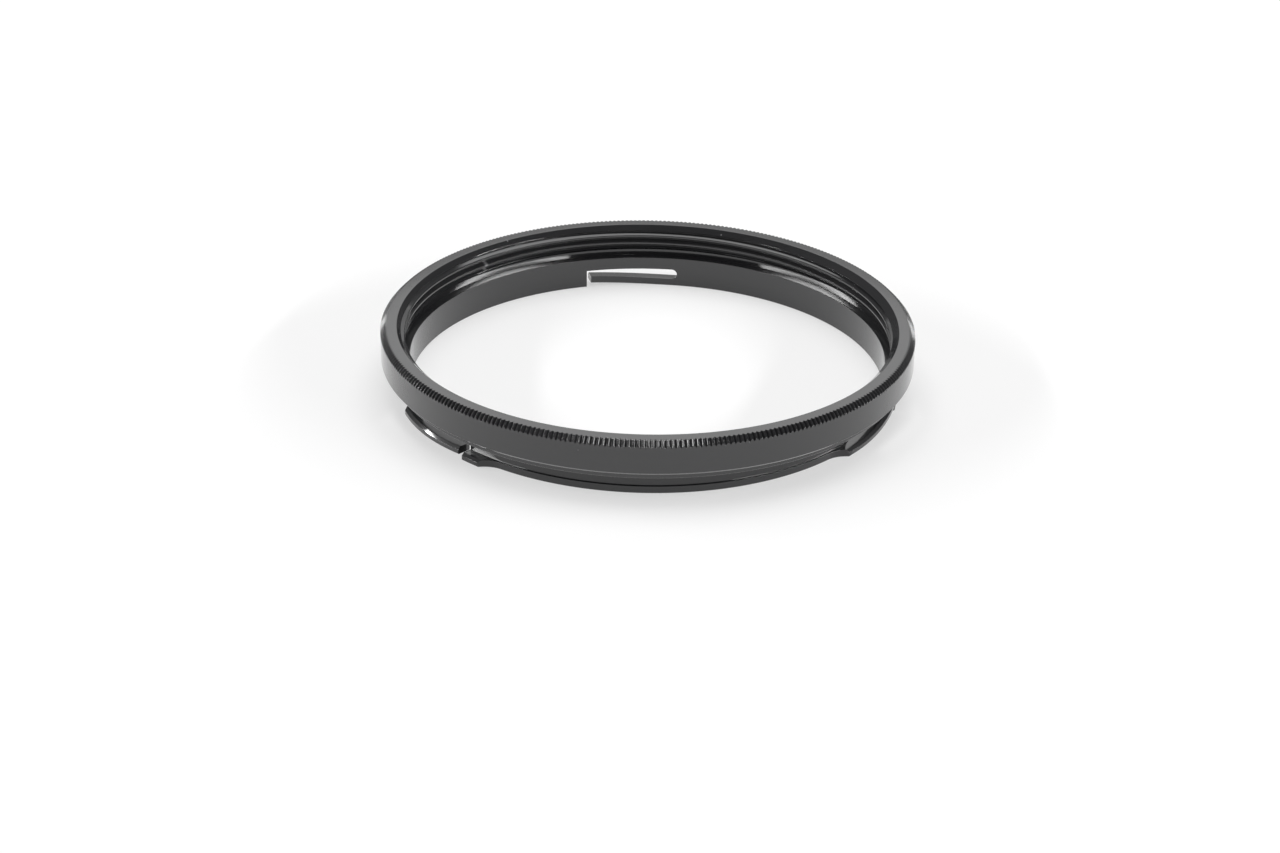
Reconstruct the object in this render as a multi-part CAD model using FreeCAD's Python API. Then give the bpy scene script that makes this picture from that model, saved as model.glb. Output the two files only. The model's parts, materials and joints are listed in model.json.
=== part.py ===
import FreeCAD, Part
import math
import os

# Filter adapter ring: a screw-in filter goes into the top, and three spring claws
# at the bottom turn into a lens bayonet. It is turned, milled, slotted and knurled
# from one piece of aluminium.
#
# Millimetres. The ring's axis is Z and its lower end face lies on Z = 0. The first
# claw lies about +Y, at the back in the usual view.

# Screw thread at the top, and the mouth that leads a filter into it
THREAD_DIAMETER = 62.0
THREAD_PITCH = 1.0
THREAD_LENGTH = 1.85
THREAD_ANGLE_DEGREES = 60.0
THREAD_START_DEGREES = 126.0
MOUTH_CLEARANCE = 0.45
RELIEF_DEPTH = 0.05
RELIEF_HEIGHT = 1.4
RELIEF_SLOPE_DEGREES = 45.0

# Gripping rim around the thread
RIM_WALL = 2.5
RIM_BOTTOM_CHAMFER = 0.3
RIM_STEP = 0.75
SHOULDER_HEIGHT = 0.75
KNURL_BEVEL = 0.55
KNURL_RIDGES = 360
KNURL_DEPTH = 0.2
KNURL_GROOVE_ANGLE_DEGREES = 90.0

# Thin sleeve that goes into the lens
LEDGE_WIDTH = 1.15
LEDGE_THICKNESS = 0.85
NECK_WALL = 0.4
NECK_HEIGHT = 2.2
BAND_WALL = 0.6
EDGE_BREAK = 0.1

# Bayonet claws, milled from one flange at the sleeve's end
CLAW_COUNT = 3
CLAW_HEIGHT = 0.95
CLAW_REACH = 1.25
CLAW_BEVEL = 0.35
CLAW_SPAN_DEGREES = 30.6
FIRST_CLAW_DEGREES = 95.9
MILL_RADIUS = 3.5

# Saw cut and slot that free the spring tongue of each claw
STOP_SPAN_DEGREES = 4.8
CUT_WIDTH = 0.6
SLOT_HEIGHT = 1.4
SLOT_SPAN_DEGREES = 23.7
TONGUE_LIFT = 0.55
TONGUE_SECTIONS = 9

# Free length of a cutting tool past the metal, the height of the thread's V cutter,
# and the share of a turn by which its turns overlap
TOOL_OVERRUN = 1.0
CUTTER_HEIGHT = 0.75
TURN_OVERLAP = 0.02

# A metric thread's core is smaller than its outside by this share of the pitch
CORE_PER_PITCH = 1.0825

thread_radius = THREAD_DIAMETER / 2
core_radius = thread_radius - CORE_PER_PITCH * THREAD_PITCH / 2
mouth_radius = thread_radius + MOUTH_CLEARANCE
relief_radius = thread_radius + RELIEF_DEPTH
bore_radius = relief_radius - LEDGE_WIDTH
neck_radius = bore_radius + NECK_WALL
band_radius = bore_radius + BAND_WALL
claw_radius = band_radius + CLAW_REACH
rim_radius = thread_radius + RIM_WALL
shoulder_radius = rim_radius - RIM_STEP

shoulder_z = CLAW_HEIGHT + NECK_HEIGHT
rim_z = shoulder_z + SHOULDER_HEIGHT
ledge_z = shoulder_z + LEDGE_THICKNESS
thread_z = ledge_z + RELIEF_HEIGHT
mouth_z = thread_z + THREAD_LENGTH
top_z = mouth_z + mouth_radius - core_radius
slot_top_z = CLAW_HEIGHT + SLOT_HEIGHT

axis = FreeCAD.Vector(0, 0, 1)
centre = FreeCAD.Vector(0, 0, 0)


def at(radius, height, degrees=0.0):
    """The point at a radius, a height and an angle around the axis."""
    turn = math.radians(degrees)
    return FreeCAD.Vector(radius * math.cos(turn), radius * math.sin(turn), height)


def outline(section, degrees=0.0, lift=0.0):
    """A closed outline in the plane through the axis at an angle."""
    points = [at(radius, height + lift, degrees) for radius, height in section]
    return Part.makePolygon(points + points[:1])


def turned(section, start=0.0, sweep=360.0):
    """The solid that a section makes when it turns about the axis."""
    return Part.Face(outline(section, start)).revolve(centre, axis, sweep)


def ring_blank():
    """The whole ring as it leaves the lathe, with a full flange for the claws."""
    relief_slope = (relief_radius - core_radius) * math.tan(math.radians(RELIEF_SLOPE_DEGREES))
    claw_flange = claw_section()[:-1]
    neck_and_shoulder = [
        (neck_radius, CLAW_HEIGHT),
        (neck_radius, shoulder_z),
        (shoulder_radius - EDGE_BREAK, shoulder_z),
        (shoulder_radius, shoulder_z + EDGE_BREAK),
        (shoulder_radius, rim_z),
    ]
    rim = [
        (rim_radius - RIM_BOTTOM_CHAMFER, rim_z),
        (rim_radius, rim_z + RIM_BOTTOM_CHAMFER),
        (rim_radius, top_z),
        (mouth_radius, top_z),
    ]
    inside = [
        (core_radius, mouth_z),
        (core_radius, thread_z),
        (relief_radius, thread_z - relief_slope),
        (relief_radius, ledge_z),
        (bore_radius, ledge_z),
    ]
    return turned(claw_flange + neck_and_shoulder + rim + inside)


def thread_turn(start_z):
    """What the V cutter takes away in one right-hand turn of the thread."""
    base_radius = thread_radius - CUTTER_HEIGHT
    half_width = CUTTER_HEIGHT * math.tan(math.radians(THREAD_ANGLE_DEGREES / 2))
    cutter = outline(
        [
            (thread_radius, start_z),
            (base_radius, start_z + half_width),
            (base_radius, start_z - half_width),
        ]
    )
    path = Part.makeHelix(THREAD_PITCH, THREAD_PITCH * (1 + TURN_OVERLAP), thread_radius)
    path.translate(at(0, start_z))
    turn = Part.Wire(path.Edges).makePipeShell([cutter], True, True)
    turn.rotate(centre, axis, THREAD_START_DEGREES)
    return turn


def claw_section():
    """The section through a claw and the sleeve's end, from the bore outwards."""
    return [
        (bore_radius, EDGE_BREAK),
        (bore_radius + EDGE_BREAK, 0),
        (claw_radius - EDGE_BREAK, 0),
        (claw_radius, EDGE_BREAK),
        (claw_radius, CLAW_HEIGHT - CLAW_BEVEL),
        (claw_radius - CLAW_BEVEL, CLAW_HEIGHT),
        (bore_radius, CLAW_HEIGHT),
    ]


def claw_gap(claw_end, gap):
    """What the mill takes away between two claws, with its round run-out at each end."""
    path_radius = band_radius + MILL_RADIUS
    reach = (path_radius**2 + claw_radius**2 - MILL_RADIUS**2) / (2 * path_radius * claw_radius)
    run_out = math.degrees(math.acos(reach))
    mill_top = CLAW_HEIGHT + NECK_HEIGHT / 2
    milled = turned(
        [
            (band_radius - EDGE_BREAK, -TOOL_OVERRUN),
            (claw_radius + TOOL_OVERRUN, -TOOL_OVERRUN),
            (claw_radius + TOOL_OVERRUN, mill_top),
            (band_radius, mill_top),
            (band_radius, EDGE_BREAK),
            (band_radius - EDGE_BREAK, 0),
        ],
        claw_end + run_out,
        gap - 2 * run_out,
    )
    for degrees in (claw_end + run_out, claw_end + gap - run_out):
        foot = at(path_radius, -TOOL_OVERRUN, degrees)
        milled = milled.fuse(Part.makeCylinder(MILL_RADIUS, mill_top + TOOL_OVERRUN, foot, axis))
    return milled


def slot_window(root, cut):
    """The room around one spring tongue: slot, saw cut and the tongue's own place."""
    inner = bore_radius - TOOL_OVERRUN
    outer = claw_radius + TOOL_OVERRUN
    room = [
        (inner, -TOOL_OVERRUN),
        (outer, -TOOL_OVERRUN),
        (outer, slot_top_z),
        (inner, slot_top_z),
    ]
    end_radius = SLOT_HEIGHT / 2
    end = at(inner, CLAW_HEIGHT + end_radius, root)
    round_end = Part.makeCylinder(end_radius, outer - inner, end, at(1, 0, root))
    return turned(room, root, cut - root).fuse(round_end)


def spring_tongue(root, tip):
    """One tongue with its part of the claw, bent up from its root like a leaf spring."""
    outlines = []
    for step in range(TONGUE_SECTIONS):
        share = step / (TONGUE_SECTIONS - 1)
        lift = TONGUE_LIFT * share**2 * (3 - share) / 2
        outlines.append(outline(claw_section(), root + (tip - root) * share, lift))
    return Part.makeLoft(outlines, True)


def knurl_polygon(radius, height):
    """A closed polygon with one side for each ridge of the knurl."""
    corner_radius = radius / math.cos(math.pi / KNURL_RIDGES)
    turn = 360.0 / KNURL_RIDGES
    corners = [at(corner_radius, height, number * turn) for number in range(KNURL_RIDGES)]
    return Part.makePolygon(corners + corners[:1])


def bevel_waste():
    """What the bevel takes off the rim's top edge, so that each ridge has a flat crest."""
    low = top_z - KNURL_BEVEL - TOOL_OVERRUN
    high = top_z + TOOL_OVERRUN
    low_polygon = knurl_polygon(rim_radius + TOOL_OVERRUN, low)
    high_polygon = knurl_polygon(rim_radius - KNURL_BEVEL - TOOL_OVERRUN, high)
    kept = Part.makeLoft([low_polygon, high_polygon], True, True)
    stock = Part.makeCylinder(rim_radius + 2 * TOOL_OVERRUN, high - low, at(0, low), axis)
    return stock.cut(kept)


def knurl_groove(degrees):
    """One straight V groove down the rim's bevel."""
    down = (at(1, 0, degrees) - axis).normalize()
    out = (at(1, 0, degrees) + axis).normalize()
    along = axis.cross(at(1, 0, degrees))
    length = math.sqrt(2) * KNURL_BEVEL + 2 * (KNURL_DEPTH + TOOL_OVERRUN)
    depth = KNURL_DEPTH + TOOL_OVERRUN
    half_width = depth * math.tan(math.radians(KNURL_GROOVE_ANGLE_DEGREES / 2))
    middle = at(rim_radius - KNURL_BEVEL / 2, top_z - KNURL_BEVEL / 2, degrees)
    bottom = middle - out * KNURL_DEPTH - down * (length / 2)
    left = bottom + out * depth + along * half_width
    right = bottom + out * depth - along * half_width
    return Part.Face(Part.makePolygon([bottom, left, right, bottom])).extrude(down * length)


def adapter_ring():
    """The finished ring."""
    ring = ring_blank()
    thread_start_z = ledge_z + THREAD_PITCH / 2
    for number in range(math.ceil((top_z - thread_start_z) / THREAD_PITCH)):
        ring = ring.cut(thread_turn(thread_start_z + number * THREAD_PITCH))
    spacing = 360.0 / CLAW_COUNT
    cut_turn = math.degrees(CUT_WIDTH / bore_radius)
    end_turn = math.degrees(SLOT_HEIGHT / 2 / bore_radius)
    tongues = []
    for number in range(CLAW_COUNT):
        claw_end = FIRST_CLAW_DEGREES + number * spacing + CLAW_SPAN_DEGREES / 2
        cut = claw_end - STOP_SPAN_DEGREES
        root = cut - SLOT_SPAN_DEGREES + end_turn
        ring = ring.cut(claw_gap(claw_end, spacing - CLAW_SPAN_DEGREES))
        ring = ring.cut(slot_window(root, cut))
        tongues.append(spring_tongue(root, cut - cut_turn))
    ring = ring.fuse(tongues).cut(bevel_waste())
    turn = 360.0 / KNURL_RIDGES
    grooves = [knurl_groove(number * turn) for number in range(KNURL_RIDGES)]
    return ring.cut(Part.makeCompound(grooves))


os.makedirs("parts", exist_ok=True)
ring = adapter_ring()
ring.exportStep("parts/adapter_ring.step")
print("adapter_ring", ring.ShapeType, len(ring.Solids), "solid", round(ring.Volume, 2), "mm3")
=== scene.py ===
# %% [markdown]
# # A black filter adapter ring, turned, milled and knurled in code
#
# The object is one ring of black anodised aluminium. A screw-in filter goes into the thread at
# its top, and three claws at its bottom turn into the bayonet at the front of a lens. It lies on
# a white table under soft studio light.
#
# The ring was packed from its CAD source, and that solid is the frame here: its box says how
# large everything is. The packed mesh is made of flat facets, as a CAD export is, with sharp
# edges and a screw thread that is a plain V groove. So this notebook builds the same ring again
# with a finer skin. Every step says what the real maker did to the metal, and the code then
# does the same to the mesh.

# %% Tools and frame
import json
import math

import bmesh
import bpy
import numpy as np
from mathutils import Matrix, Quaternion, Vector


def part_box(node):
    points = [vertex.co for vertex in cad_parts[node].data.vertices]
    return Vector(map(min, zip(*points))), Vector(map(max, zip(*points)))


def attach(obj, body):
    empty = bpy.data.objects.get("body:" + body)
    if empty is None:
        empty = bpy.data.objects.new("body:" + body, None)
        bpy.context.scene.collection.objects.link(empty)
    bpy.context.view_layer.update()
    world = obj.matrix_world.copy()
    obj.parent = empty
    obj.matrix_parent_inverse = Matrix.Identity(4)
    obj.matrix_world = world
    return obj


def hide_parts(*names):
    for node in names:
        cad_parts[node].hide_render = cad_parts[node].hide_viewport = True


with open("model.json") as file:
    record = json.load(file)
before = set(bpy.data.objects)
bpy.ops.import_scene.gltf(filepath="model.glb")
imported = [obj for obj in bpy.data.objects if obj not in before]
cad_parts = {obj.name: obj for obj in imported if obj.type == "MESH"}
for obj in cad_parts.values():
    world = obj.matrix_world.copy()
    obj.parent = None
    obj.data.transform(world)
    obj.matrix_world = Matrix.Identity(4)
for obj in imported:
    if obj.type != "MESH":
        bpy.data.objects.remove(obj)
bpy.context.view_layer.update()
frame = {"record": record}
ring_low, ring_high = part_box("adapter_ring")
print("the CAD ring runs from", tuple(ring_low), "to", tuple(ring_high))

# %% [markdown]
# ## The sizes of the ring
#
# A ring like this has one axis and a few diameters, so every size below is either a radius, a
# height or a turn about that axis. They are in millimetres, as on the maker's drawing, and the
# mesh is scaled to Blender's metres once it is finished. The outer radius and the height come
# from the frame, and so do the thread's core and the shoulder's place, which the record holds
# as mounts. The walls and steps between them repeat the drawing, and the radii and heights
# follow from those.

# %% Sizes from the frame and the drawing
MM = 0.001

mounts = {mount["name"]: mount for mount in frame["record"]["mounts"]}
rim_radius = ring_high.x / MM
top_z = ring_high.z / MM
core_radius = mounts["filter_thread"]["dims"]["r_mm"]
shoulder_z = mounts["lens_bayonet"]["pos_m"][2] / MM

RIM_WALL = 2.5
RIM_STEP = 0.75
RIM_CHAMFER = 0.3
SHOULDER_HEIGHT = 0.75
THREAD_PITCH = 1.0
MOUTH_CLEARANCE = 0.45
RELIEF_DEPTH = 0.05
RELIEF_HEIGHT = 1.4
LEDGE_WIDTH = 1.15
LEDGE_THICKNESS = 0.85
NECK_WALL = 0.4
BAND_WALL = 0.6
EDGE_BREAK = 0.1

thread_radius = rim_radius - RIM_WALL
mouth_radius = thread_radius + MOUTH_CLEARANCE
relief_radius = thread_radius + RELIEF_DEPTH
bore_radius = relief_radius - LEDGE_WIDTH
neck_radius = bore_radius + NECK_WALL
band_radius = bore_radius + BAND_WALL
shoulder_radius = rim_radius - RIM_STEP
rim_z = shoulder_z + SHOULDER_HEIGHT
ledge_z = shoulder_z + LEDGE_THICKNESS
thread_z = ledge_z + RELIEF_HEIGHT
mouth_z = top_z - (mouth_radius - core_radius)
print("rim radius", round(rim_radius, 3), "height", round(top_z, 3), "thread core", core_radius)

# %% [markdown]
# ## A skin made of sections
#
# On a lathe a section is swept round the axis. A mesh can do the same: a section is a list of
# radius and height pairs, and a column of corners is that section at one angle. Blender's Screw
# modifier would sweep a fixed section, but here the section changes as it goes round, where
# there is a claw, a slot or a ridge of the knurl. So the columns are worked out with numpy, and
# a small class keeps the corners and the faces between them.
#
# Neighbouring zones have different columns, because the knurl needs six for each ridge and the
# sleeve only one for each degree. `zip_up` joins two such loops with triangles, the way a zip
# takes a tooth from whichever side is behind.

# %% A class that gathers corners and faces


class Skin:
    """The corners and faces of one piece, before they are welded."""

    def __init__(self):
        self.corners = []
        self.faces = []

    def rows(self, outline, degrees):
        """Corners for an outline of (radius, height) rows, each given for every angle."""
        outline = np.asarray(outline, float)
        if outline.ndim == 2:
            outline = np.repeat(outline[:, None, :], len(degrees), axis=1)
        turn = np.radians(degrees)[None, :]
        radius, height = outline[..., 0], outline[..., 1]
        places = np.stack([radius * np.cos(turn), radius * np.sin(turn), height], axis=-1)
        first = len(self.corners)
        self.corners.extend(places.reshape(-1, 3).tolist())
        return np.arange(first, first + radius.size).reshape(radius.shape)

    def strips(self, grid, skip=None):
        """Quads between neighbouring rows and columns; skip(row, column) leaves some out."""
        for row in range(grid.shape[0] - 1):
            for column in range(grid.shape[1] - 1):
                if skip is None or not skip(row, column):
                    low, high = grid[row : row + 2, column : column + 2]
                    self.faces.append([low[0], low[1], high[1], high[0]])

    def cap(self, loop):
        """One flat face with the corners of a loop."""
        self.faces.append(list(loop))

    def zip_up(self, loop, degrees, other, other_degrees):
        """Triangles between two closed loops that have different columns."""
        gap = (np.asarray(other_degrees) - degrees[0] + 180) % 360 - 180
        start = int(np.argmin(np.abs(gap)))
        other = np.roll(other, -start)
        behind = np.roll(gap, -start)
        behind = np.unwrap(np.append(behind, behind[0] + 360), period=360) + degrees[0]
        ahead = np.append(degrees, degrees[0] + 360)
        loop, other = np.append(loop, loop[0]), np.append(other, other[0])
        i = j = 0
        while i < len(loop) - 1 or j < len(other) - 1:
            if j == len(other) - 1 or (i < len(loop) - 1 and ahead[i + 1] <= behind[j + 1]):
                self.faces.append([loop[i], loop[i + 1], other[j]])
                i += 1
            else:
                self.faces.append([loop[i], other[j + 1], other[j]])
                j += 1


ring_skin = Skin()
print("an empty skin:", len(ring_skin.corners), "corners")

# %% [markdown]
# ## Edges that catch the light
#
# No turned edge is perfectly sharp. The tool leaves a tiny round, and that round is what shows
# as a thin bright line in a photograph. Blender's Bevel modifier could add it, but it shrinks
# every bevel to what the smallest edge allows, and the knurl has very small edges. `eased`
# does it in the section instead: each corner becomes three points on a short curve. The reach
# may differ from column to column, so an edge can fade out where a slot closes.

# %% A section with its corners eased


def eased(outline, reach, closed=False):
    """The outline with each corner replaced by three points, at most reach away from it."""
    outline = np.asarray(outline, float)
    if outline.ndim == 2:
        outline = outline[:, None, :]
    count, columns = outline.shape[:2]
    reach = np.broadcast_to(reach, (count, columns))
    out = []
    for number in range(count):
        corner = outline[number]
        if not closed and number in (0, count - 1):
            out.append(corner)
            continue
        ends = []
        for neighbour in (number - 1, (number + 1) % count):
            away = outline[neighbour] - corner
            length = np.linalg.norm(away, axis=-1)
            is_end = not closed and neighbour in (0, count - 1)
            share = 1.0 if is_end else 0.5
            used = np.minimum(reach[number], length * share)
            ends.append(corner + away * (used / np.maximum(length, 1e-9))[:, None])
        middle = (ends[0] + 2 * corner + ends[1]) / 4
        out.extend([ends[0], middle, ends[1]])
    return np.stack(out)


def all_round(section, degrees):
    """A section with one column, repeated for every angle."""
    return np.repeat(section, len(degrees), axis=1)


RIM_EASE = 0.045
SLEEVE_EASE = 0.03
CLAW_COUNT = 3
FIRST_CLAW = 95.9

half_spacing = 360 / CLAW_COUNT / 2
one_degree = np.arange(361) + FIRST_CLAW - half_spacing
print("eased square corner:", eased([(0, 0), (1, 0), (1, 1)], 0.1)[:, 0].round(3).tolist())

# %% [markdown]
# ## The knurl
#
# The rim's top edge is bevelled, and a knurl of straight V grooves lies across the bevel so that
# wet fingers can grip it. A groove keeps its depth all along, so it runs out on the rim's side
# and on its top face in two small points. That gives a simple rule for the mesh: at a groove's
# middle both edges of the bevel move back by the depth times the square root of two, and at the
# flat crest between two grooves they stay where they are. Three columns on each side of a
# groove's middle give it an eased lip, a straight flank and a narrow root.

# %% Knurled bevel
KNURL_RIDGES = 360
KNURL_BEVEL = 0.55
KNURL_DEPTH = 0.2
KNURL_EASE = 0.03
RUN_OUT_MARGIN = 0.06
SEAM = 0.02

knurl_pitch = 2 * math.pi * (rim_radius - KNURL_BEVEL / 2) / KNURL_RIDGES
half_widths = np.array([0.225, 0.19, 0.04])
depth_shares = np.array([0.0, 0.06, 0.825])
across = np.concatenate([-half_widths, half_widths[::-1]])
deep = np.concatenate([depth_shares, depth_shares[::-1]]) * KNURL_DEPTH
knurl_degrees = (np.arange(KNURL_RIDGES)[:, None] + across[None, :] / knurl_pitch).ravel()
knurl_degrees = np.append(knurl_degrees * 360 / KNURL_RIDGES, knurl_degrees[0] + 360)
run_out = math.sqrt(2) * np.append(np.tile(deep, KNURL_RIDGES), deep[0])
clear = math.sqrt(2) * KNURL_DEPTH + RUN_OUT_MARGIN
still = np.ones_like(run_out)
bevel_foot_z = top_z - KNURL_BEVEL
bevel_head_radius = rim_radius - KNURL_BEVEL
knurl_outline = np.stack(
    [
        np.stack([rim_radius * still, (bevel_foot_z - clear) * still], -1),
        np.stack([rim_radius * still, bevel_foot_z - run_out], -1),
        np.stack([bevel_head_radius - run_out, top_z * still], -1),
        np.stack([(bevel_head_radius - clear) * still, top_z * still], -1),
    ]
)
knurl = ring_skin.rows(eased(knurl_outline, KNURL_EASE), knurl_degrees)
ring_skin.strips(knurl)
print("knurl:", KNURL_RIDGES, "grooves,", round(knurl_pitch, 3), "mm apart,", knurl.size, "corners")

# %% [markdown]
# ## The rim, seen from outside
#
# Below the knurl the rim is a plain cylinder with a small bevel at its lower edge, which is the
# thin bright line in the photograph. Under it the ring steps in to the shoulder, and the
# shoulder's face bears on the lens. All of this is plain turning, so one section does it. A seam
# of triangles, a few hundredths of a millimetre high, then zips it to the knurl's columns.

# %% Rim and shoulder
ZONE_Z = 2.6
outside = eased(
    [
        (neck_radius, ZONE_Z),
        (neck_radius, shoulder_z),
        (shoulder_radius - EDGE_BREAK, shoulder_z),
        (shoulder_radius, shoulder_z + EDGE_BREAK),
        (shoulder_radius, rim_z),
        (rim_radius - RIM_CHAMFER, rim_z),
        (rim_radius, rim_z + RIM_CHAMFER),
        (rim_radius, bevel_foot_z - clear - SEAM),
    ],
    RIM_EASE,
)
rim = ring_skin.rows(all_round(outside, one_degree), one_degree)
ring_skin.strips(rim)
ring_skin.zip_up(rim[-1][:-1], one_degree[:-1], knurl[0][:-1], knurl_degrees[:-1])
print("rim and shoulder:", rim.shape[0], "rows of", rim.shape[1])

# %% [markdown]
# ## The screw thread
#
# A thread is cut by a pointed tool that moves along the axis by one pitch for each turn. A
# boolean with a coiled cutter would do the same, but its cut faces shade badly. Here the rows of
# the mesh follow the helix themselves: each row keeps its place on the thread's profile while
# its height rises by one pitch for each turn, so crests and roots stay crisp lines. The profile
# is metric, with 60 degrees between the flanks: seen from the bore, the groove's flat bottom
# takes an eighth of the pitch and the flat crest a quarter. Where the mouth or the relief has
# taken the metal away, the radius is simply the larger of the two.

# %% Helical thread
MOUTH_JOIN_Z = 7.85
RELIEF_JOIN_Z = 4.85
ROOT_HEIGHT_AT_BACK = 6.4
BACK_DEGREES = 90.0
FINE_ROWS = 16
PROFILE_EASE = 0.05

pitch_profile = eased(
    [
        (0.0, thread_radius),
        (1 / 16, thread_radius),
        (3 / 8, core_radius),
        (5 / 8, core_radius),
        (15 / 16, thread_radius),
        (1.0, thread_radius),
    ],
    PROFILE_EASE,
)[:, 0]
phases = np.union1d(pitch_profile[:-1, 0].round(6), np.arange(FINE_ROWS) / FINE_ROWS)
turns = np.arange(-4, 5)
all_phases = (turns[:, None] + phases[None, :]).ravel()
profile_radius = np.interp(all_phases % 1.0, pitch_profile[:, 0], pitch_profile[:, 1])
rise = (one_degree - BACK_DEGREES) / 360
height = ROOT_HEIGHT_AT_BACK + THREAD_PITCH * (all_phases[:, None] + rise[None, :])
height = np.clip(height, RELIEF_JOIN_Z, MOUTH_JOIN_Z)
inside_zone = (height.min(axis=1) < MOUTH_JOIN_Z) & (height.max(axis=1) > RELIEF_JOIN_Z)
first, last = np.flatnonzero(inside_zone)[[0, -1]]
chosen = slice(first - 1, last + 2)
mouth_cone = core_radius + height - mouth_z
relief_cone = core_radius + thread_z - height
radius = np.maximum(profile_radius[:, None], np.maximum(mouth_cone, relief_cone))
thread = ring_skin.rows(np.stack([radius, height], -1)[chosen], one_degree)
ring_skin.strips(thread)
print("thread:", thread.shape[0], "helical rows for", round(mouth_z - thread_z, 2), "mm of thread")

# %% [markdown]
# ## Top face, mouth, relief and ledge
#
# The flat top face is what a filter's flange sits on. Its inner edge opens into a 45 degree
# mouth that leads the filter into the thread. Under the thread the bore is wider, so that the
# threading tool could stop without a mark, and then a flat ledge leads in to the thin sleeve.
# Two more sections close the inside.

# %% Inside of the rim
top_face = eased(
    [
        (bevel_head_radius - clear - SEAM, top_z),
        (mouth_radius, top_z),
        (core_radius + MOUTH_JOIN_Z - mouth_z, MOUTH_JOIN_Z),
    ],
    RIM_EASE,
)
mouth = ring_skin.rows(all_round(top_face, one_degree), one_degree)
ring_skin.strips(mouth)
ring_skin.zip_up(mouth[0][:-1], one_degree[:-1], knurl[-1][:-1], knurl_degrees[:-1])

relief_and_ledge = eased(
    [
        (core_radius + thread_z - RELIEF_JOIN_Z, RELIEF_JOIN_Z),
        (relief_radius, thread_z - relief_radius + core_radius),
        (relief_radius, ledge_z),
        (bore_radius, ledge_z),
        (bore_radius, ZONE_Z),
    ],
    RIM_EASE,
)
ledge = ring_skin.rows(all_round(relief_and_ledge, one_degree), one_degree)
ring_skin.strips(ledge)
print("mouth", mouth.shape[0], "rows, relief and ledge", ledge.shape[0], "rows")

# %% [markdown]
# ## Claws, slots and spring tongues
#
# The sleeve's end carries a flange. A milling cutter takes most of it away and leaves three
# claws, with its own round shape at their ends. Then a slot with a round end is milled above
# each claw, and a saw cut goes down through the claw near one end. What is left between them is
# a spring tongue. It is bent up at its free end, so that it presses on the lens's flange, and
# the short piece past the saw cut stays where it was, as the stop.
#
# Booleans could cut all this, but they leave long thin faces in curved walls. The sections can
# do it too. Each column has two outlines: the metal above the slot, and the metal below it.
# Where there is no slot, both meet at the height of the slot's middle, and the faces across the
# wall are left out. Between tongue and stop, only the outline above exists.

# %% Angles of one claw, counted from its middle
CLAW_REACH = 1.25
CLAW_HEIGHT = 0.95
CLAW_BEVEL = 0.35
CLAW_HALF_SPAN = 15.3
MILL_RADIUS = 3.5
STOP_SPAN = 4.8
CUT_WIDTH = 0.6
SLOT_HEIGHT = 1.4
SLOT_SPAN = 23.7
TONGUE_LIFT = 0.55

claw_radius = band_radius + CLAW_REACH
slot_top_z = CLAW_HEIGHT + SLOT_HEIGHT
slot_middle = CLAW_HEIGHT + SLOT_HEIGHT / 2
slot_round = SLOT_HEIGHT / 2
path_radius = band_radius + MILL_RADIUS
reach_cosine = (path_radius**2 + claw_radius**2 - MILL_RADIUS**2) / (2 * path_radius * claw_radius)
mill_span = math.degrees(math.acos(reach_cosine))
cut = CLAW_HALF_SPAN - STOP_SPAN
tip = cut - math.degrees(CUT_WIDTH / bore_radius)
end_span = math.degrees(slot_round / bore_radius)
root = cut - SLOT_SPAN + end_span
print("tongue from", round(root, 2), "to", round(tip, 2), "degrees, saw cut up to", round(cut, 2))


def joined(*runs):
    """Several runs of angles in a row, without the repeated ends."""
    return np.concatenate([runs[0]] + [run[1:] for run in runs[1:]])


BAND_COLUMNS = 41
MILLED_COLUMNS = 10
CLAW_END_COLUMNS = 3
ROUND_COLUMNS = 9
TONGUE_COLUMNS = 22
STOP_COLUMNS = 6

far_end = CLAW_HALF_SPAN + mill_span
before = joined(
    np.linspace(-half_spacing, -far_end, BAND_COLUMNS),
    np.linspace(-far_end, -CLAW_HALF_SPAN, MILLED_COLUMNS),
    np.linspace(-CLAW_HALF_SPAN, root - end_span, CLAW_END_COLUMNS),
)
quarter_turn = np.linspace(0, math.pi / 2, ROUND_COLUMNS)[1:]
round_end = root - end_span * np.cos(quarter_turn)
tongue = np.linspace(root, tip, TONGUE_COLUMNS)[1:]
after = joined(
    np.linspace(cut, CLAW_HALF_SPAN, STOP_COLUMNS),
    np.linspace(CLAW_HALF_SPAN, far_end, MILLED_COLUMNS),
    np.linspace(far_end, half_spacing, BAND_COLUMNS),
)
columns = np.concatenate([before, round_end, tongue, [cut], after])
is_open = np.zeros(len(columns), bool)
is_open[len(before) : -len(after)] = True
print(len(columns), "columns for each claw, of which", int(is_open.sum()), "cross the slot")

# %% [markdown]
# The height of the slot's edges, the tongue's bend and the claw's outer radius are each a short
# formula of the angle. The bend is the curve of a leaf spring that is fixed at one end and
# pushed at the other, and the radius at a claw's end is the circle of the milling cutter.

# %% Slot, bend and claw radius at every column
round_rise = slot_round * np.sin(quarter_turn)
half_gap = np.zeros(len(columns))
half_gap[len(before) : len(before) + len(round_end)] = round_rise
half_gap[len(before) + len(round_end) : -len(after)] = slot_round
share = np.clip((columns - root) / (tip - root), 0, 1)
share[-len(after) :] = 0
bend = TONGUE_LIFT * share**2 * (3 - share) / 2
off_path = np.radians(np.clip(far_end - np.abs(columns), 0, mill_span))
mill_edge = path_radius * np.cos(off_path)
mill_edge = mill_edge - np.sqrt(MILL_RADIUS**2 - (path_radius * np.sin(off_path)) ** 2)
claw_edge = np.where(np.abs(columns) <= CLAW_HALF_SPAN + 1e-9, claw_radius, mill_edge)
print("tongue's tip is bent up by", round(float(bend.max()), 3), "mm")

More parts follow.
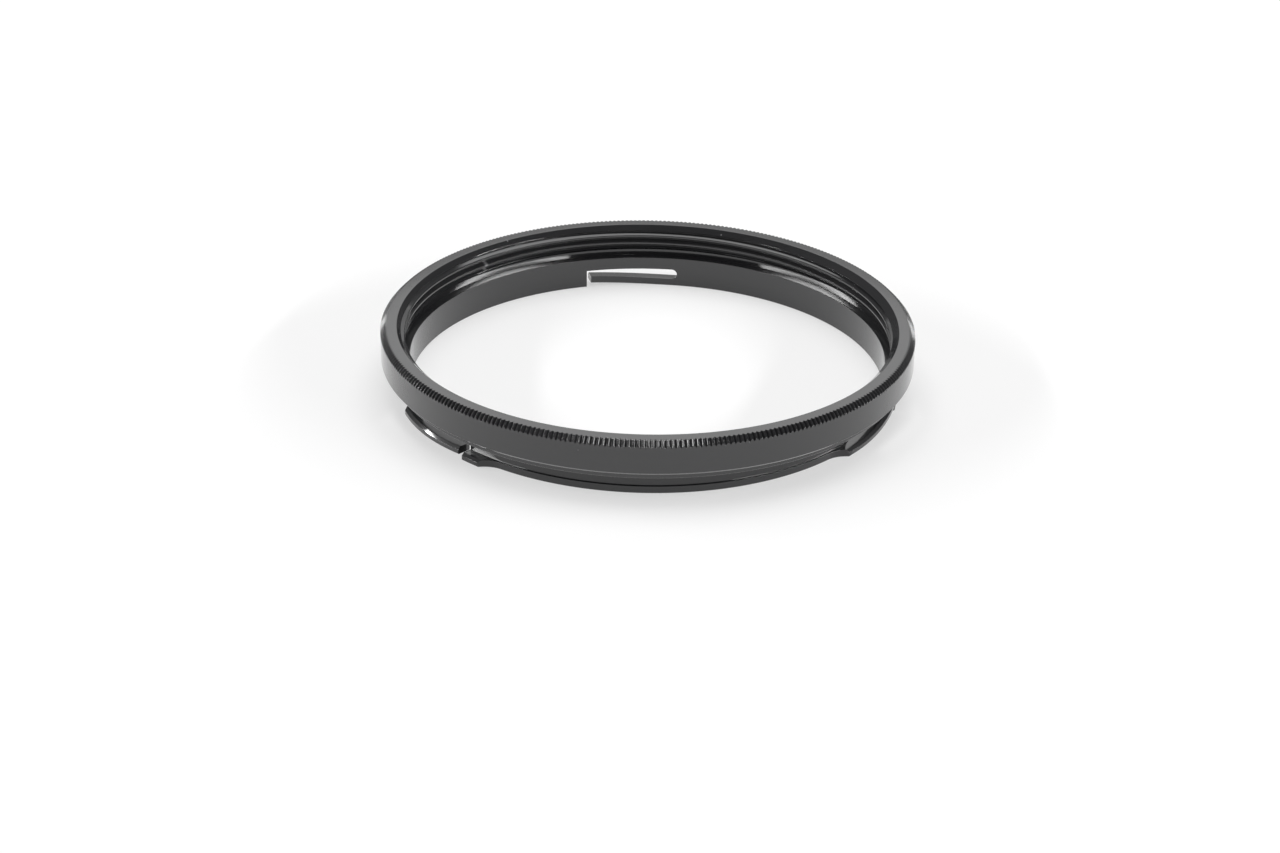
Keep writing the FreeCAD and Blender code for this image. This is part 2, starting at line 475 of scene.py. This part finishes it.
# %% [markdown]
# The outline above the slot starts and ends a little below the plain rows of the rim. The
# outline below is the section of the claw, or of the plain band between two claws, where the
# claw's bevel shrinks to an eased edge.

# %% The two outlines
every = np.ones(len(columns))
slot_reach = SLEEVE_EASE * is_open


def pair(radii, heights):
    """One row of an outline, from radii and heights that may be numbers or arrays."""
    return np.stack([radii * every, heights * every], -1)


SLEEVE_TOP_Z = 2.5
edge_start = slot_top_z + SLEEVE_EASE
above = eased(
    np.stack(
        [
            pair(bore_radius, edge_start),
            pair(bore_radius, slot_middle + half_gap),
            pair(neck_radius, slot_middle + half_gap),
            pair(neck_radius, edge_start),
        ]
    ),
    slot_reach,
)
bore_top, neck_top = pair(bore_radius, SLEEVE_TOP_Z), pair(neck_radius, SLEEVE_TOP_Z)
above = np.concatenate([bore_top[None], above, neck_top[None]])
bevel_z = np.minimum(CLAW_HEIGHT - CLAW_BEVEL + claw_radius - claw_edge, CLAW_HEIGHT - SLEEVE_EASE)
bevel_radius = np.minimum(claw_edge - SLEEVE_EASE, claw_radius - CLAW_BEVEL)
below = np.stack(
    [
        pair(bore_radius, slot_middle - half_gap),
        pair(bore_radius, EDGE_BREAK),
        pair(bore_radius + EDGE_BREAK, 0),
        pair(claw_edge - EDGE_BREAK, 0),
        pair(claw_edge, EDGE_BREAK),
        pair(claw_edge, bevel_z),
        pair(bevel_radius, CLAW_HEIGHT),
        pair(neck_radius, CLAW_HEIGHT),
        pair(neck_radius, slot_middle - half_gap),
    ]
)
reach_below = np.full(below.shape[:2], SLEEVE_EASE)
reach_below[[0, -1]] = slot_reach
below = eased(below, reach_below, closed=True)
below[..., 1] += bend
print("outlines of", len(above), "and", len(below), "rows")

# %% [markdown]
# Each claw's third of the ring is now two grids of corners. The faces across the wall are made
# only beside an open column, and the two cut faces of the saw are closed with a cap each.

# %% The three thirds of the sleeve's end
WALL_ROW_ABOVE = 4
wall_row_below = len(below) - 1
tip_column = len(columns) - len(after) - 2
stop_column = len(columns) - len(after)
bore_loop, neck_loop, loop_degrees = [], [], []


def wall_closed(wall_row, opened):
    """Tells which faces across the wall to leave out: those with no slot on either side."""
    return lambda row, column: row == wall_row and not (opened[column] or opened[column + 1])


for number in range(CLAW_COUNT):
    degrees = columns + FIRST_CLAW + number * 360 / CLAW_COUNT
    upper = ring_skin.rows(above, degrees)
    ring_skin.strips(upper, wall_closed(WALL_ROW_ABOVE, is_open))
    bore_loop.extend(upper[0][:-1])
    neck_loop.extend(upper[-1][:-1])
    loop_degrees.extend(degrees[:-1])
    lower = ring_skin.rows(below, degrees)
    lower = np.vstack([lower, lower[:1]])
    for part in (slice(0, tip_column + 1), slice(stop_column, len(columns))):
        ring_skin.strips(lower[:, part], wall_closed(wall_row_below, is_open[part]))
    for column in (tip_column, stop_column):
        ring_skin.cap(lower[:-1, column])

ring_skin.zip_up(np.array(bore_loop), np.array(loop_degrees), ledge[-1][:-1], one_degree[:-1])
ring_skin.zip_up(np.array(neck_loop), np.array(loop_degrees), rim[0][:-1], one_degree[:-1])
print(len(loop_degrees), "corners round the top of the sleeve's end")

# %% [markdown]
# ## Welding and shading
#
# Now everything is welded into one closed skin, and faces that have shrunk to nothing go away.
# Then comes the shading. A smooth mesh takes the mean of the faces round each corner, and beside
# a tiny eased edge that tilts a whole flat. The Weighted Normal modifier lets the large faces
# rule instead. It works on the skin while that is still in millimetres, because in metres these
# faces weigh so little that the modifier takes them for nothing.

# %% A function that finishes a skin
WELD = 1e-4
CREASE = math.radians(62)
SAME_WEIGHT = 1e-6


def welded(skin, name):
    """The finished object: welded, closed, turned outwards, shaded and scaled to metres."""
    mesh = bpy.data.meshes.new(name + "_in_mm")
    mesh.from_pydata(skin.corners, [], [[int(c) for c in face] for face in skin.faces])
    work = bmesh.new()
    work.from_mesh(mesh)
    bmesh.ops.remove_doubles(work, verts=work.verts, dist=WELD)
    bmesh.ops.dissolve_degenerate(work, edges=work.edges, dist=WELD)
    bmesh.ops.recalc_face_normals(work, faces=work.faces)
    open_edges = sum(not edge.is_manifold for edge in work.edges)
    work.to_mesh(mesh)
    work.free()
    mesh.shade_smooth()
    mesh.set_sharp_from_angle(angle=CREASE)
    piece = bpy.data.objects.new(name, mesh)
    bpy.context.scene.collection.objects.link(piece)
    weighted = piece.modifiers.new("flats stay flat", "WEIGHTED_NORMAL")
    weighted.keep_sharp = True
    weighted.thresh = SAME_WEIGHT
    weighing = piece.evaluated_get(bpy.context.evaluated_depsgraph_get())
    settled = bpy.data.meshes.new_from_object(weighing)
    piece.modifiers.clear()
    settled.name = name
    settled.transform(Matrix.Scale(MM, 4))
    piece.data = settled
    bpy.data.meshes.remove(mesh)
    print(name, len(settled.polygons), "faces,", open_edges, "open edges")
    return piece


ring = welded(ring_skin, "filter_adapter_ring")

# %% [markdown]
# The finished skin takes the place of the packed ring. It rides on the root, because the ring
# has no moving part.

# %% The ring in the frame
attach(ring, "root")
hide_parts("adapter_ring")
print(ring.name, "stands in for the packed ring")

# %% [markdown]
# ## Shader maths as plain sums
#
# A finish is a sum: a base colour plus a little here, less there. Blender writes such sums as
# Math nodes, and many of them are tedious to wire. The class `Wire` stands for a value on its
# way through the nodes, so that `1 - mask` adds the node that works it out.

# %% A class for sums in a shader


class Wire:
    """A value on its way through a material; sums with it add Math nodes."""

    def __init__(self, board, socket):
        self.board = board
        self.socket = socket

    def maths(self, operation, *values):
        """The Math node of an operation, fed with wires or plain numbers."""
        return self.board.node("ShaderNodeMath", {"operation": operation}, dict(enumerate(values)))

    def __add__(self, other):
        return self.maths("ADD", self, other)

    def __sub__(self, other):
        return self.maths("SUBTRACT", self, other)

    def __rsub__(self, other):
        return self.maths("SUBTRACT", other, self)

    def __mul__(self, other):
        return self.maths("MULTIPLY", self, other)

    def __truediv__(self, other):
        return self.maths("DIVIDE", self, other)

    def __pow__(self, other):
        return self.maths("POWER", self, other)

    __radd__ = __add__
    __rmul__ = __mul__

    def sibling(self, name):
        """Another output of the node that this wire comes from."""
        return Wire(self.board, self.socket.node.outputs[name])

    def rising(self, low, high):
        """0 where the value is under low, 1 where it is over high, and smooth between."""
        ends = {"Value": self, "From Min": low, "From Max": high}
        return self.board.node("ShaderNodeMapRange", {"interpolation_type": "SMOOTHSTEP"}, ends)

    def near(self, middle, width):
        """1 at the middle value, falling to 0 at width away from it."""
        return 1 - self.maths("ABSOLUTE", self - middle).rising(0.0, width)


print("a wire can", sum(name.startswith("__r") for name in vars(Wire)), "sums from the right")

# %% [markdown]
# A `Board` is the node tree of one material. Its method `node` adds any other kind of node: its
# settings are set first, because some settings change which sockets a node has, and then its
# sockets take their values or links. `finish` does the same for the Principled shader.

# %% A class for one material's nodes


class Board:
    """The nodes of one material."""

    def __init__(self, name):
        self.material = bpy.data.materials.new(name)
        self.material.use_nodes = True
        self.tree = self.material.node_tree
        self.shader = self.tree.nodes["Principled BSDF"]

    def feed(self, socket, value):
        """Link a wire to a socket, or set the socket to a plain value."""
        if isinstance(value, Wire):
            self.tree.links.new(value.socket, socket)
        else:
            socket.default_value = value

    def node(self, kind, settings=None, sockets=None, out=0):
        """Any node: its type, its settings, what its sockets take, and which output to use."""
        node = self.tree.nodes.new(kind)
        for name, value in (settings or {}).items():
            setattr(node, name, value)
        for name, value in (sockets or {}).items():
            self.feed(node.inputs[name], value)
        return Wire(self, node.outputs[out])

    def finish(self, **sockets):
        """Feed the Principled shader; underscores in the names stand for spaces."""
        for name, value in sockets.items():
            self.feed(self.shader.inputs[name.replace("_", " ")], value)
        return self.material


black = Board("black_anodised_aluminium")
print("an empty board:", len(black.tree.nodes), "nodes")

# %% [markdown]
# ## Places on the ring
#
# Almost everything about this finish depends on where it is on the ring: how far from the axis,
# how high, and at what turn. Object coordinates give the place in metres from the ring's own
# origin, so the marks stay on the metal when it moves. Radius and turn come from them as they
# do on paper.

# %% Radius, height and turn as wires
coordinates = black.node("ShaderNodeTexCoord", out="Object")
metres_x = black.node("ShaderNodeSeparateXYZ", None, {0: coordinates})
across_x = metres_x / MM
across_y = metres_x.sibling("Y") / MM
height_mm = metres_x.sibling("Z") / MM
radius_mm = (across_x * across_x + across_y * across_y) ** 0.5
turn_radians = across_y.maths("ARCTAN2", across_y, across_x)
print("radius, height and turn take", len(black.tree.nodes), "nodes")

# %% [markdown]
# ## Black anodised aluminium
#
# Anodising grows a hard, clear layer of oxide out of the aluminium, dyed black. It is as smooth
# as the metal below it, so it keeps the fine rings that the lathe tool left. The surface is
# dark: not metallic in a shader's sense, because the dye swallows what goes in, but with a
# strong gloss at grazing angles, which is what draws the form in the photograph. Two layers do
# this. A dull black body is the dye, and a thin clear coat over it is the oxide.
#
# Three scales of detail break it up. Fine rings run round the axis: noise along radius plus
# height only, so that it is even round the ring and doesn't stretch on flat or upright faces. A
# fine grain lies between them, and a slow cloud changes the gloss and the dye a little, as
# handling does.

# %% Rings, grain and cloud
RINGS_PER_MM = 14.0
CLOUD_SCALE = 220.0
GRAIN_SCALE = 5200.0

rings = black.node(
    "ShaderNodeTexNoise",
    {"noise_dimensions": "1D"},
    {"W": (radius_mm + height_mm) * RINGS_PER_MM, "Detail": 3.0, "Roughness": 0.65},
)
cloud = black.node(
    "ShaderNodeTexNoise",
    {"noise_dimensions": "3D"},
    {"Vector": coordinates, "Scale": CLOUD_SCALE, "Detail": 4.0, "Roughness": 0.55},
)
grain = black.node(
    "ShaderNodeTexNoise",
    {"noise_dimensions": "3D"},
    {"Vector": coordinates, "Scale": GRAIN_SCALE, "Detail": 2.0},
)
print("three textures, the rings about", round(1 / RINGS_PER_MM, 2), "mm apart")

# %% [markdown]
# Each texture now becomes a quantity of the finish. The roughness is a middle value with a
# little of the cloud and the rings added. The rings and the grain are also a relief, two
# thousandths of a millimetre deep, through a Bump node. The dye is a mix of two near blacks.

# %% Roughness, relief and dye
BODY_ROUGHNESS = 0.45
RELIEF_METRES = 0.000002
DEEP_DYE = (0.0075, 0.0075, 0.0085, 1)
WORN_DYE = (0.011, 0.011, 0.0125, 1)

roughness = BODY_ROUGHNESS + (cloud - 0.5) * 0.12 + (rings - 0.5) * 0.08
marks = black.node(
    "ShaderNodeBump",
    None,
    {"Strength": 0.12, "Distance": RELIEF_METRES, "Height": rings + (grain - 0.5) * 0.5},
)
dye = black.node(
    "ShaderNodeMix",
    {"data_type": "RGBA"},
    {0: (cloud - 0.5) * 0.5 + 0.5, 6: DEEP_DYE, 7: WORN_DYE},
    out=2,
)
print("roughness about", BODY_ROUGHNESS, "and relief", RELIEF_METRES / MM, "mm")

# %% [markdown]
# The knurl's grooves are pressed or cut by a tool that leaves them dull, so in the photograph
# they are black ovals between bright lands. They are the places near the bevel that lie below
# its plane: on the bevel radius plus height is constant, and in a groove it is less. The bevel's
# own surface and the plain faces beside it stay out of the mask.

# %% A mask for the knurl's grooves
CLEAR_OF_FACE = 0.01
FULLY_DEEP = 0.06
BEVEL_FROM_RADIUS = (32.3, 32.5)
BEVEL_FROM_HEIGHT = (7.2, 7.4)

under_bevel = rim_radius + top_z - KNURL_BEVEL - (radius_mm + height_mm)
under_side = (rim_radius - radius_mm).rising(CLEAR_OF_FACE, FULLY_DEEP)
under_top = (top_z - height_mm).rising(CLEAR_OF_FACE, FULLY_DEEP)
near_bevel = radius_mm.rising(*BEVEL_FROM_RADIUS) * height_mm.rising(*BEVEL_FROM_HEIGHT)
grooves = under_bevel.rising(0.0, FULLY_DEEP) * under_side * under_top * near_bevel
print("the finish has", len(black.tree.nodes), "nodes so far")

# %% [markdown]
# ## Wear
#
# Where a filter has been screwed in and out, its thread has rubbed the dye off a few crests, and
# the bare metal shows pale. There is one such scuff on the thread at the left, one speck at the
# back, one at the left, and a tiny nick on the outside. Each is a soft spot in turn and height,
# the cloud breaks up its edge, and a mask of the radius keeps it on its own side of the wall.

# %% Scuff, specks and nick
BARE_METAL = (0.34, 0.34, 0.35, 1)
INSIDE_ENDS = (31.6, 32.0)
OUTSIDE_STARTS = (33.0, 33.3)
on_inside = 1 - radius_mm.rising(*INSIDE_ENDS)
on_outside = radius_mm.rising(*OUTSIDE_STARTS)

# name, side of the wall, turn in degrees, height, half width and half height in mm, strength
SPOTS = [
    ("scuff on the thread", on_inside, 135.2, 5.7, 0.45, 1.3, 0.75),
    ("speck at the back", on_inside, 71.8, 7.75, 0.12, 0.12, 0.8),
    ("speck at the left", on_inside, 127.3, 8.15, 0.12, 0.12, 0.8),
    ("nick on the outside", on_outside, -103.4, 6.63, 0.11, 0.13, 0.6),
]
worn = 0.0
for spot_name, side, turn_degrees, spot_height, half_width, half_height, strength in SPOTS:
    along = (turn_radians - math.radians(turn_degrees)) * radius_mm
    spot = along.near(0.0, half_width) * height_mm.near(spot_height, half_height)
    worn = spot * side * strength + worn
    print(spot_name, "at", turn_degrees, "degrees and", spot_height, "mm")
worn = worn * (cloud.rising(0.44, 0.6) * 0.7 + 0.3)
bared = {0: worn, 6: dye, 7: BARE_METAL}
colour = black.node("ShaderNodeMix", {"data_type": "RGBA"}, bared, out=2)

# %% [markdown]
# Everything comes together in the Principled shader. The coat is smooth and has a high index,
# so it mirrors the studio more strongly the lower one looks, and it is nearly gone in the
# grooves and thinner where the metal is bare.

# %% The finish on the ring
COAT_LOST_IN_GROOVES = 0.85
COAT_LOST_WHERE_BARE = 0.6

coat = (1.0 - grooves * COAT_LOST_IN_GROOVES) * (1.0 - worn * COAT_LOST_WHERE_BARE)
finish = black.finish(
    Base_Color=colour,
    Roughness=roughness,
    Normal=marks,
    IOR=1.25,
    Coat_Weight=coat,
    Coat_Roughness=0.08,
    Coat_IOR=1.65,
)
ring.data.materials.append(finish)
print("finish with", len(black.tree.nodes), "nodes")

# %% [markdown]
# ## Camera
#
# The camera stands where the photograph was taken: in front of the ring, about 34 centimetres
# away, and it looks down on the ring at some 27 degrees. Its place and its lens come from
# fitting the ellipses of the rim and the ledge to the photograph. A long lens keeps the ring's
# ellipse nearly even, and a roll of one degree repeats that the picture isn't quite level.
# Places here are in metres, as Blender has them.

# %% Camera
CAMERA_PLACE = Vector((0.0, -0.306840, 0.148460))
CAMERA_AIM = Vector((-0.000772, 0.0, -0.006662))
CAMERA_ROLL = math.radians(1.034)
CAMERA_LENS = 75.54

camera = bpy.data.objects.new("camera", bpy.data.cameras.new("camera"))
camera.data.lens = CAMERA_LENS
camera.data.sensor_width = 36
camera.data.sensor_fit = "HORIZONTAL"
camera.data.clip_start = 0.01
camera.location = CAMERA_PLACE
level = (CAMERA_AIM - CAMERA_PLACE).to_track_quat("-Z", "Y")
camera.rotation_mode = "QUATERNION"
camera.rotation_quaternion = level @ Quaternion((0, 0, 1), CAMERA_ROLL)
bpy.context.scene.collection.objects.link(camera)
bpy.context.scene.camera = camera
bpy.context.scene.view_settings.view_transform = "Standard"
print("camera", round(CAMERA_PLACE.length, 3), "m from the ring's origin")

# %% [markdown]
# ## Table
#
# The ring lies on white paper. Paper under studio light comes out a little grey, and more light
# would bleach the ring too. So the paper is mixed with a plain white glow that only the camera
# and mirrored rays see, which Light Path tells. Half of what they see is still the lit paper,
# and that keeps the soft shadow under the ring. The black metal mirrors the same white table,
# and that is what lights its upright walls.

# %% Table
TABLE_HALF = 3.0
PAPER_WHITE = (0.92, 0.92, 0.92, 1)
GLOW_SHARE = 0.5

sides = [(-1, -1), (1, -1), (1, 1), (-1, 1)]
table_corners = [(x * TABLE_HALF, y * TABLE_HALF, 0) for x, y in sides]
table = bpy.data.objects.new("table", bpy.data.meshes.new("table"))
table.data.from_pydata(table_corners, [], [(0, 1, 2, 3)])
bpy.context.scene.collection.objects.link(table)
paper = Board("white_paper")
paper_white = paper.finish(Base_Color=PAPER_WHITE, Roughness=0.9)
glow = paper.node("ShaderNodeEmission", None, {"Color": (1, 1, 1, 1), "Strength": 1.0})
seen = paper.node("ShaderNodeLightPath", out="Is Camera Ray")
looks = seen + seen.sibling("Is Glossy Ray") + seen.sibling("Is Transmission Ray")
glow_share = looks.maths("MINIMUM", looks, 1.0) * GLOW_SHARE
lit = Wire(paper, paper.shader.outputs["BSDF"])
mixed = paper.node("ShaderNodeMixShader", None, {0: glow_share, 1: lit, 2: glow})
paper.feed(paper.tree.nodes["Material Output"].inputs["Surface"], mixed)
table.data.materials.append(paper_white)
print("table", 2 * TABLE_HALF, "m wide, material with", len(paper.tree.nodes), "nodes")

# %% [markdown]
# ## Lamps
#
# Black gloss shows nothing but what it mirrors, so the lamps are placed where the ring's faces
# look. A large softbox overhead lights the scene. One behind the ring, and a pale board under
# it, lie in the mirror of the flat top face. Two long narrow strips at the sides reach the
# camera by way of two mirrors, first the ledge inside and then the wall above it: they are the
# two bright arcs. Their height follows from that path, and a strip two degrees higher or lower
# would miss. A small lamp at the front brings out the lands of the knurl. A dim world fills
# what is left.
#
# The power of a lamp is worked out from how bright its face should be, where 1 is white. None
# of them shows to the camera.

# %% Lamps and world
# name, azimuth and elevation in degrees, distance, width and height in metres, brightness
LAMPS = [
    ("overhead", 180, 72, 1.0, 1.0, 0.8, 2.4),
    ("back", 180, 36, 1.0, 0.75, 0.42, 1.1),
    ("board", 180, 16, 1.0, 0.75, 0.28, 0.5),
    ("right", 73, 24.8, 1.0, 1.2, 0.05, 40.0),
    ("left", -87.5, 24.8, 1.0, 1.1, 0.05, 40.0),
    ("front", 16, 62, 1.0, 0.12, 0.08, 9.0),
]
WORLD_STRENGTH = 0.1


def softbox(name, azimuth, elevation, distance, width, tall, radiance):
    """A soft light: azimuth counts from the camera's side towards +X, in degrees."""
    turn, lift = math.radians(azimuth), math.radians(elevation)
    flat = math.cos(lift)
    place = Vector((math.sin(turn) * flat, -math.cos(turn) * flat, math.sin(lift))) * distance
    light = bpy.data.lights.new(name, "AREA")
    light.shape = "RECTANGLE"
    light.size, light.size_y = width, tall
    light.energy = radiance * math.pi * width * tall
    lamp = bpy.data.objects.new(name, light)
    lamp.location = place
    lamp.rotation_mode = "QUATERNION"
    lamp.rotation_quaternion = (-place).to_track_quat("-Z", "Y")
    lamp.visible_camera = False
    bpy.context.scene.collection.objects.link(lamp)
    print(name, "softbox of", round(light.energy, 2), "W")


for lamp_row in LAMPS:
    softbox(*lamp_row)
world = bpy.data.worlds.new("studio")
bpy.context.scene.world = world
world.use_nodes = True
world.node_tree.nodes["Background"].inputs["Color"].default_value = (1, 1, 1, 1)
world.node_tree.nodes["Background"].inputs["Strength"].default_value = WORLD_STRENGTH

# %% [markdown] ## The end  The drawn ring has to keep the size of the packed one.
